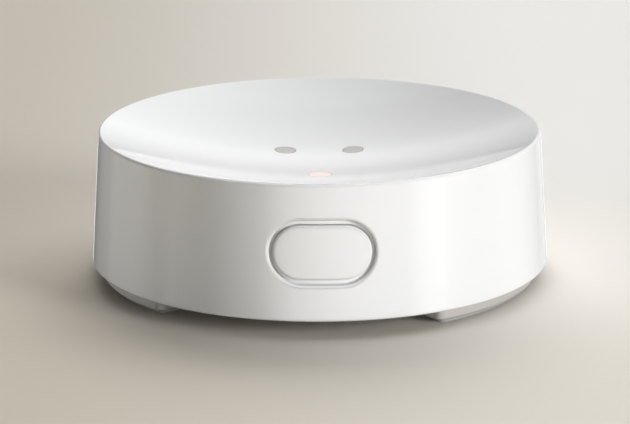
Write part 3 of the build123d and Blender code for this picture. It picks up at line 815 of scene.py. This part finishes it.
    def _center(self, surface: Surface) -> None:
        """Adds the middle of the dish: a triangulated cap with three round sockets in it.

        Points lie on rings round each socket, on a hexagonal net between them and on the
        circle that the turned dish ends on, all at the dish's height.

        Args:
            surface: the mesh to add to.
        """
        rim = np.stack([self.center_radius * np.sin(self.bearings),
                        -self.center_radius * np.cos(self.bearings)], axis=-1)
        rings, loops, start = [rim], [], len(rim)
        angles = np.linspace(0.0, FULL_TURN, self.socket_columns, endpoint=False)
        circle = np.stack([np.sin(angles), -np.cos(angles)], axis=-1)
        for x, y, radius, _ in self.sockets:
            mouth = radius + self.socket_rounding
            loops.append(np.arange(start, start + len(angles)))
            for spread in self.socket_rings:
                rings.append((x, y) + circle * (mouth + spread))
            start += len(angles) * len(self.socket_rings)
        pitch = self.net_pitch
        step = np.arange(-self.center_radius, self.center_radius, pitch)
        net_x, net_y = np.meshgrid(step, step * math.sqrt(3) / 2)
        net_x = net_x + (np.arange(len(step)) % 2)[:, None] * pitch / 2
        net = np.stack([net_x.ravel(), net_y.ravel()], axis=-1)
        clear = np.hypot(net[:, 0], net[:, 1]) < self.center_radius - pitch * self.rim_clearance
        for x, y, radius, _ in self.sockets:
            taken = radius + self.socket_rings[-1] + pitch * self.socket_clearance
            clear &= np.hypot(net[:, 0] - x, net[:, 1] - y) > taken
        rings.append(net[clear])
        flat = np.concatenate(rings)
        edges = [(int(a), int(b)) for loop in [np.arange(len(rim))] + loops
                 for a, b in zip(loop, np.roll(loop, -1))]
        verts, _, faces, *_ = delaunay_2d_cdt([tuple(point) for point in flat], edges, [], 0, TINY)
        spots = np.array([tuple(vert) for vert in verts])
        corners = np.array([face for face in faces if len(face) == 3])
        middle = spots[corners].mean(axis=1)
        inside = np.hypot(middle[:, 0], middle[:, 1]) < self.center_radius
        for x, y, radius, _ in self.sockets:
            mouth = radius + self.socket_rounding * self.mouth_share
            inside &= np.hypot(middle[:, 0] - x, middle[:, 1] - y) > mouth
        height = self.dish_at(np.hypot(spots[:, 0], spots[:, 1]))
        surface.triangles(np.column_stack([spots, height]), corners[inside])
        for socket in self.sockets:
            self._socket(surface, circle, socket)

    def _socket(self, surface: Surface, circle: np.ndarray, socket: RoundSocket) -> None:
        """Adds a round socket: a small mouth round, a straight wall and a flat floor.

        The mouth's round follows a quarter circle, as the recess's does.

        Args:
            surface: the mesh to add to.
            circle: points of a unit circle.
            socket: the socket's place and size.
        """
        x, y, radius, depth = socket
        rows = []
        for angle in np.linspace(0.0, np.pi / 2, self.socket_steps):
            spot = (x, y) + circle * (radius + self.socket_rounding * (1 - math.sin(angle)))
            top = self.dish_at(np.hypot(spot[:, 0], spot[:, 1]))
            rows.append(np.column_stack([spot, top - self.socket_rounding * (1 - math.cos(angle))]))
        wall_spot = (x, y) + circle * radius
        floor_height = np.full(len(circle), float(self.dish_at(math.hypot(x, y))) - depth)
        floor = np.column_stack([wall_spot, floor_height])
        wall_shares, floor_shares = (0.5, 0.95, 1.0), (0.9, 0.5, 0.0)
        rows += [rows[-1] + (floor - rows[-1]) * share for share in wall_shares]
        for share in floor_shares:
            rows.append(np.column_stack([(x, y) + circle * radius * share, floor_height]))
        surface.grid(np.stack(rows), True)

    def build(self, finisher: Finisher) -> Piece:
        """Builds the moulding as one closed surface and puts it in the node's place.

        Args:
            finisher: where the finish comes from.

        Returns:
            The piece.
        """
        surface = Surface()
        outer_profile = self._outer_profile()
        outer_edge = self._windowed(surface, outer_profile, self.window_start)
        inner_profile = self._inner_profile()
        inner_edge = self._windowed(surface, inner_profile, self.inner_start)
        self._recess(surface, outer_edge, inner_edge)
        self._center(surface)
        piece = surface.make("housing_shell")
        finisher.dress(piece, "white_gloss_shell")
        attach(piece, "body_shell")
        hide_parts("housing")
        return piece


@dataclass
class ButtonKey:
    """The side button's key: a cap that follows the wall, its stem and two snap hooks."""

    shell: HousingShell
    cap_length: float = 12.4
    cap_width: float = 6.9
    cap_inset: float = 0.05
    cap_rounding: float = 0.32
    cap_drop: float = 0.26
    cap_back: float = -28.544
    stem_length: float = 9.6
    stem_width: float = 4.5
    stem_end: float = -24.75
    hook_length: float = 3.2
    hook_reach: float = 0.45
    hook_near: float = -25.594
    hook_thickness: float = 0.3
    quarter_count: int = 40
    face_rows: int = 16
    edge_steps: int = 9

    def _face_row(self, loop: SlotLoop, shrink: float, sink: float) -> np.ndarray:
        """An outline of the cap's face, laid just under the wall's surface."""
        outline = loop.points(self.cap_length - shrink, self.cap_width - shrink)
        return self.shell.cone_row(outline, sink=sink, inset=self.cap_inset)

    def build(self, finisher: Finisher) -> Piece:
        """Builds the key from the middle of its face to the end of its stem.

        The face's edge follows a quarter ellipse, as wide as the cap's rounding and as deep as
        its drop.

        Args:
            finisher: where the finish comes from.

        Returns:
            The piece.
        """
        surface = Surface()
        loop = SlotLoop(np.linspace(0.0, 1.0, self.quarter_count + 1))
        shrinks = np.linspace(self.cap_width - TINY, 2 * self.cap_rounding, self.face_rows)
        rows = [self._face_row(loop, shrink, 0.0) for shrink in shrinks]
        for angle in np.linspace(0.0, np.pi / 2, self.edge_steps)[1:]:
            shrink = 2 * self.cap_rounding * (1 - math.sin(angle))
            rows.append(self._face_row(loop, shrink, self.cap_drop * (1 - math.cos(angle))))
        cap = loop.points(self.cap_length, self.cap_width)
        stem = loop.points(self.stem_length, self.stem_width)
        crisp = self.shell.crisp
        flat = self.shell.flat_row
        rows += crisp(rows[-1], flat(cap, self.cap_back))
        rows += crisp(rows[-1], flat(stem, self.cap_back))
        rows += crisp(rows[-1], flat(stem, self.stem_end))
        spine = loop.points(self.stem_length - self.stem_width + TINY, TINY)
        rows += crisp(rows[-1], flat(spine, self.stem_end))
        surface.grid(np.stack(rows), True)
        self._hooks(surface)
        piece = surface.make("button_key")
        finisher.dress(piece, "white_gloss_shell")
        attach(piece, "button")
        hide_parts("button_cap")
        return piece

    def _hooks(self, surface: Surface) -> None:
        """Adds two snap hooks: slim blocks with chamfered edges, above and below the stem.

        Args:
            surface: the mesh to add to.
        """
        for side in (-1.0, 1.0):
            root = self.shell.button_height + side * (self.stem_width / 2 - self.hook_reach)
            tip = self.shell.button_height + side * (self.stem_width / 2 + self.hook_reach)
            far = self.hook_near + self.hook_thickness
            section = np.array([
                [self.hook_near, root],
                [self.hook_near, tip],
                [self.hook_near + self.hook_thickness / 3, tip],
                [far, tip - side * self.hook_reach / 2],
                [far, root],
            ])
            half = self.hook_length / 2
            ends = [np.column_stack([np.full(len(section), x), section]) for x in (-half, half)]
            middle = [np.broadcast_to(end.mean(axis=0), end.shape) for end in ends]
            surface.grid(np.stack([middle[0], ends[0], ends[1], middle[1]]), True)


class SmoothEdges:
    """The modifier that merges a CAD node's loose triangles and shades its curves smoothly."""

    name = "smooth_edges"
    merge_distance = 1e-6
    sharp_angle = math.radians(28.0)

    def __init__(self) -> None:
        """Builds the node group: merge, shade smooth, then keep the steep edges sharp."""
        tree = bpy.data.node_groups.new(self.name, "GeometryNodeTree")
        tree.interface.new_socket("Geometry", in_out="INPUT", socket_type="NodeSocketGeometry")
        tree.interface.new_socket("Geometry", in_out="OUTPUT", socket_type="NodeSocketGeometry")
        entry = tree.nodes.new("NodeGroupInput")
        leave = tree.nodes.new("NodeGroupOutput")
        merge = tree.nodes.new("GeometryNodeMergeByDistance")
        merge.inputs["Distance"].default_value = self.merge_distance
        smooth = tree.nodes.new("GeometryNodeSetShadeSmooth")
        smooth.domain = "FACE"
        smooth.inputs["Shade Smooth"].default_value = True
        sharp = tree.nodes.new("GeometryNodeSetShadeSmooth")
        sharp.domain = "EDGE"
        sharp.inputs["Shade Smooth"].default_value = False
        angle = tree.nodes.new("GeometryNodeInputMeshEdgeAngle")
        steep = tree.nodes.new("FunctionNodeCompare")
        steep.operation = "GREATER_THAN"
        steep.inputs[1].default_value = self.sharp_angle
        join_socket(tree, angle.outputs["Unsigned Angle"], steep.inputs[0])
        join_socket(tree, entry.outputs[0], merge.inputs["Geometry"])
        join_socket(tree, merge.outputs["Geometry"], smooth.inputs["Geometry"])
        join_socket(tree, smooth.outputs["Geometry"], sharp.inputs["Geometry"])
        join_socket(tree, steep.outputs["Result"], sharp.inputs["Selection"])
        join_socket(tree, sharp.outputs["Geometry"], leave.inputs[0])
        self.tree = tree

    def put_on(self, piece: Piece) -> None:
        """Adds the modifier to a piece."""
        modifier = piece.modifiers.new(self.name, "NODES")
        modifier.node_group = self.tree


class CarriedParts:
    """The CAD nodes that stay as they are and get their finish and smooth shading."""

    def dress(self, finisher: Finisher, smoother: SmoothEdges, replaced: set[str]) -> None:
        """Dresses every node that no piece replaces.

        Args:
            finisher: where the finishes come from.
            smoother: the shading modifier.
            replaced: nodes that a piece stands for.
        """
        slots = {row["node"]: row["material_slot"] for row in frame["record"]["subparts"]}
        for node, piece in sorted(frame["nodes"].items()):
            if node in replaced:
                continue
            finisher.dress(piece, slots[node])
            smoother.put_on(piece)
            LOG.info("dressed %s as %s", node, slots[node])


@dataclass(frozen=True)
class Lamp:
    """A broad soft light far off, which mirror reflections don't see.

    Args:
        bearing: where it stands, in degrees from the button towards +X.
        elevation: how high it stands, in degrees.
        strength: its strength.
        spread: how wide it looks from the set, in degrees.
        color: its colour.
    """

    bearing: float
    elevation: float
    strength: float
    spread: float = 45.0
    color: Color = (1.0, 1.0, 0.995)


@dataclass(frozen=True)
class ReflectedBand:
    """A level band of the surroundings that only mirror reflections see.

    Args:
        elevation: the band's middle in degrees; it fades to nothing 20 degrees off it.
        knots: (bearing, brightness) pairs from -180 to 180, with straight lines between them.
    """

    elevation: float
    knots: tuple[tuple[float, float], ...]


@dataclass
class Studio:
    """The pale floor, painted with light and shade, the soft lights and the surroundings that gloss
    reflects.

    The floor's size and fades are metres. Its colours are pairs, for its left and right; they are
    painted shade at the left and front and painted light at the right.
    """

    lamps: tuple[Lamp, ...] = (
        Lamp(-120, 12, 0.17, color=(0.96, 0.985, 1.0)),
        Lamp(-60, 12, 0.26, color=(0.96, 0.985, 1.0)),
        Lamp(55, 13, 2.52, spread=24.0, color=(0.97, 0.986, 1.0)),
        Lamp(120, 55, 0.93),
        Lamp(140, 30, 0.31),
        Lamp(180, 40, 2.0),
    )
    band_reach: float = 20.0
    bands: tuple[ReflectedBand, ...] = (
        ReflectedBand(-10, (
            (-180, 0.45), (-165, 0.19), (-136, 0.8), (-133, 1.15), (-105, 2.07), (-90, 1.7),
            (-78, 1.9), (-62, 0.45), (-52, 0.0), (-32, 0.6), (-15, 3.7), (0, 4.5), (15, 4.5),
            (30, 3.7), (44, 2.6), (50, 3.6), (64, 3.6), (66, 2.3), (78, 0.9), (90, 0.0),
            (145, 0.0), (160, 0.9), (180, 0.45),
        )),
        ReflectedBand(20, (
            (-180, 1.43), (-150, 0.0), (-140, 0.8), (-50, 0.8), (-30, 0.5), (30, 0.5),
            (60, 0.0), (90, 0.14), (120, 0.28), (150, 0.0), (180, 1.43),
        )),
        ReflectedBand(45, (
            (-180, 0.61), (-150, 0.0), (60, 0.0), (90, 0.19), (120, 0.36), (150, 0.74),
            (180, 0.61),
        )),
        ReflectedBand(-18, ((-180, 3.0), (-168, 0.0), (168, 0.0), (180, 3.0))),
        ReflectedBand(50, (
            (-180, 0.0), (-155, 0.0), (-140, 1.8), (-70, 1.8), (-50, 3.5), (140, 3.5),
            (155, 0.0), (180, 0.0),
        )),
        ReflectedBand(70, (
            (-180, 0.0), (-120, 0.0), (-90, 7.0), (90, 7.0), (120, 0.0), (180, 0.0),
        )),
        ReflectedBand(90, ((-180, 3.0), (180, 3.0))),
    )
    brightest: float = 8.0
    sky_color: Color = (0.995, 0.998, 1.0)
    backdrop_level: float = 0.78
    floor_size: float = 12.0
    across_fade: tuple[float, float] = (-0.055, 0.042)
    along_fade: tuple[float, float] = (-0.06, 0.08)
    # Floor colours, darker at the left and front and near white at the right: painted shade and
    # painted light of the light that falls on the floor.
    back_painted_shading: tuple[Color, Color] = ((0.53, 0.49, 0.42), (0.87, 0.85, 0.82))
    front_painted_shading: tuple[Color, Color] = ((0.52, 0.47, 0.39), (0.75, 0.71, 0.64))
    floor_roughness: float = 0.8

    def build(self) -> None:
        """Makes the floor, the lamps and the surroundings."""
        self._floor()
        for lamp in self.lamps:
            self._sun(lamp)
        self._surroundings()

    def _sun(self, lamp: Lamp) -> None:
        """Adds a broad distant lamp.

        Args:
            lamp: where it stands and how strong it is.
        """
        name = f"soft_light_{lamp.bearing}_{lamp.elevation}"
        data = bpy.data.lights.new(name, "SUN")
        data.energy = lamp.strength
        data.color = lamp.color
        data.angle = math.radians(lamp.spread)
        light = bpy.data.objects.new(name, data)
        tilt = math.radians(90 - lamp.elevation)
        light.rotation_euler = Euler((tilt, 0.0, math.radians(lamp.bearing)))
        light.visible_glossy = False
        bpy.context.scene.collection.objects.link(light)

    def _floor(self) -> None:
        """Makes a large matt sheet whose colour drifts from a warm grey to near white at the right:
        painted shade at the left and front, painted light at the right.
        """
        half = self.floor_size / 2
        mesh = bpy.data.meshes.new("studio_floor")
        corners = [(-half, -half, 0), (half, -half, 0), (half, half, 0), (-half, half, 0)]
        mesh.from_pydata(corners, [], [(0, 1, 2, 3)])
        floor = bpy.data.objects.new("studio_floor", mesh)
        bpy.context.scene.collection.objects.link(floor)
        floor.visible_glossy = False
        material = bpy.data.materials.new("studio_floor")
        material.use_nodes = True
        tree = material.node_tree
        shader = tree.nodes["Principled BSDF"]
        shader.inputs["Roughness"].default_value = self.floor_roughness
        place = tree.nodes.new("ShaderNodeTexCoord")
        parts = tree.nodes.new("ShaderNodeSeparateXYZ")
        join_socket(tree, place.outputs["Object"], parts.inputs[0])
        across = self._ramp(tree, parts.outputs["X"], *self.across_fade)
        along = self._ramp(tree, parts.outputs["Y"], *self.along_fade)
        # The floor's colour mixes painted shade at the left and front with painted light at the
        # right.
        front = self._blend(tree, across, *self.front_painted_shading)
        back = self._blend(tree, across, *self.back_painted_shading)
        painted_shading = self._blend(tree, along, front, back)
        join_socket(tree, painted_shading, shader.inputs["Base Color"])
        mesh.materials.append(material)

    def _ramp(self, tree: Tree, source: Socket, low: float, high: float) -> Socket:
        """Adds a smooth rise from 0 to 1 between two values.

        Args:
            tree: the tree to add to.
            source: the value that it follows.
            low: where it starts.
            high: where it ends.

        Returns:
            The rise.
        """
        node = tree.nodes.new("ShaderNodeMapRange")
        node.interpolation_type = "SMOOTHSTEP"
        node.inputs["From Min"].default_value = low
        node.inputs["From Max"].default_value = high
        join_socket(tree, source, node.inputs["Value"])
        return node.outputs["Result"]

    def _blend(self, tree: Tree, share: Socket, first: Socket | Color,
               second: Socket | Color) -> Socket:
        """Mixes two colours.

        Args:
            tree: the tree to add to.
            share: 0 for the first colour and 1 for the second.
            first: the first colour.
            second: the second colour.

        Returns:
            The mixed colour.
        """
        node = tree.nodes.new("ShaderNodeMix")
        node.data_type = "RGBA"
        join_socket(tree, share, node.inputs[0])
        for socket, value in ((node.inputs[6], first), (node.inputs[7], second)):
            if isinstance(value, Socket):
                join_socket(tree, value, socket)
            else:
                socket.default_value = (*value, 1.0)
        return node.outputs[2]

    def _surroundings(self) -> None:
        """Makes the world: pale to the camera, bands of light to mirror reflections."""
        world = bpy.data.worlds.new("studio")
        bpy.context.scene.world = world
        world.use_nodes = True
        tree = world.node_tree
        shader = tree.nodes["Background"]
        ray = tree.nodes.new("ShaderNodeLightPath")
        place = tree.nodes.new("ShaderNodeTexCoord")
        parts = tree.nodes.new("ShaderNodeSeparateXYZ")
        join_socket(tree, place.outputs["Generated"], parts.inputs[0])
        backwards = calculate(tree, "MULTIPLY", parts.outputs["Y"], -1.0)
        angle = calculate(tree, "ARCTAN2", parts.outputs["X"], backwards)
        share = calculate(tree, "MULTIPLY_ADD", angle, 0.5 / math.pi, 0.5)
        elevation = calculate(tree, "DEGREES", calculate(tree, "ARCSINE", parts.outputs["Z"]))
        total = 0.0
        for band in self.bands:
            total = calculate(tree, "ADD", total, self._band(tree, share, elevation, band))
        reflected = calculate(tree, "MULTIPLY", total, ray.outputs["Is Glossy Ray"])
        seen = calculate(tree, "MULTIPLY", ray.outputs["Is Camera Ray"], self.backdrop_level)
        strength = calculate(tree, "ADD", seen, reflected)
        join_socket(tree, strength, shader.inputs["Strength"])
        shader.inputs["Color"].default_value = (*self.sky_color, 1.0)

    def _band(self, tree: Tree, share: Socket, elevation: Socket, band: ReflectedBand) -> Socket:
        """Adds one band's glow: its knots by bearing, times a fade by elevation.

        Args:
            tree: the world's tree.
            share: the ray's bearing, as a share of the full circle.
            elevation: the ray's elevation in degrees.
            band: the band.

        Returns:
            The band's brightness along the ray.
        """
        curve = tree.nodes.new("ShaderNodeFloatCurve")
        line = curve.mapping.curves[0]
        knots = [(angle / 360 + 0.5, level / self.brightest) for angle, level in band.knots]
        first, *between, last = knots
        line.points[0].location = first
        line.points[1].location = last
        for knot in between:
            line.points.new(*knot)
        for point in line.points:
            point.handle_type = "VECTOR"
        curve.mapping.update()
        join_socket(tree, share, curve.inputs["Value"])
        away = calculate(tree, "ABSOLUTE", calculate(tree, "SUBTRACT", elevation, band.elevation))
        fade = calculate(tree, "MULTIPLY_ADD", away, -1 / self.band_reach, 1.0)
        near = calculate(tree, "MAXIMUM", fade, 0.0)
        level = calculate(tree, "MULTIPLY", curve.outputs["Value"], near)
        return calculate(tree, "MULTIPLY", level, self.brightest)


@dataclass
class Viewpoint:
    """The camera where the photograph was taken from, in millimetres and degrees.

    Args:
        distance: how far it stands from the sensor's axis.
        height: how high it stands.
        pitch: how far it looks down.
        yaw: how far it looks past the axis.
        roll: how far it leans.
        bearing: where it stands, from the button towards +X.
        focal_pixels: its focal length in the photograph's pixels.
        frame_width: the photograph's width in pixels.
        sensor: the sensor's width.
        near_clip: the nearest distance that it shows, in metres.
    """

    distance: float = 437.26
    height: float = 128.95
    pitch: float = 15.45
    yaw: float = 0.083
    roll: float = -0.199
    bearing: float = -0.6
    focal_pixels: float = 3436.0
    frame_width: float = 630.0
    sensor: float = 36.0
    near_clip: float = 0.01

    def build(self) -> None:
        """Makes the camera, with its turn worked out from the bearing, yaw, pitch and roll."""
        data = bpy.data.cameras.new("viewpoint")
        data.sensor_width = self.sensor
        data.lens = self.focal_pixels / self.frame_width * self.sensor
        data.clip_start = self.near_clip
        camera = bpy.data.objects.new("viewpoint", data)
        angle = math.radians(self.bearing)
        spot = np.array([math.sin(angle), -math.cos(angle), 0.0]) * self.distance * MM
        turn = (
            Matrix.Rotation(math.radians(self.bearing + self.yaw), 4, "Z")
            @ Matrix.Rotation(math.radians(90.0 - self.pitch), 4, "X")
            @ Matrix.Rotation(math.radians(self.roll), 4, "Z")
        )
        camera.matrix_world = Matrix.Translation((spot[0], spot[1], self.height * MM)) @ turn
        bpy.context.scene.collection.objects.link(camera)
        bpy.context.scene.camera = camera


def main() -> None:
    """Builds the sensor's pieces in order, dresses them, and sets up the studio."""
    logging.basicConfig(level=logging.INFO, format="%(name)s: %(message)s")
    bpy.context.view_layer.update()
    bpy.context.scene.view_settings.view_transform = "Standard"
    Viewpoint().build()
    Studio().build()
    finisher = Finisher()
    smoother = SmoothEdges()
    shell = HousingShell()
    for piece in (shell.build(finisher), ButtonKey(shell).build(finisher)):
        LOG.info("built %s with %d faces", piece.name, len(piece.data.polygons))
    CarriedParts().dress(finisher, smoother, {"housing", "button_cap"})


if __name__ == "__main__":
    main()
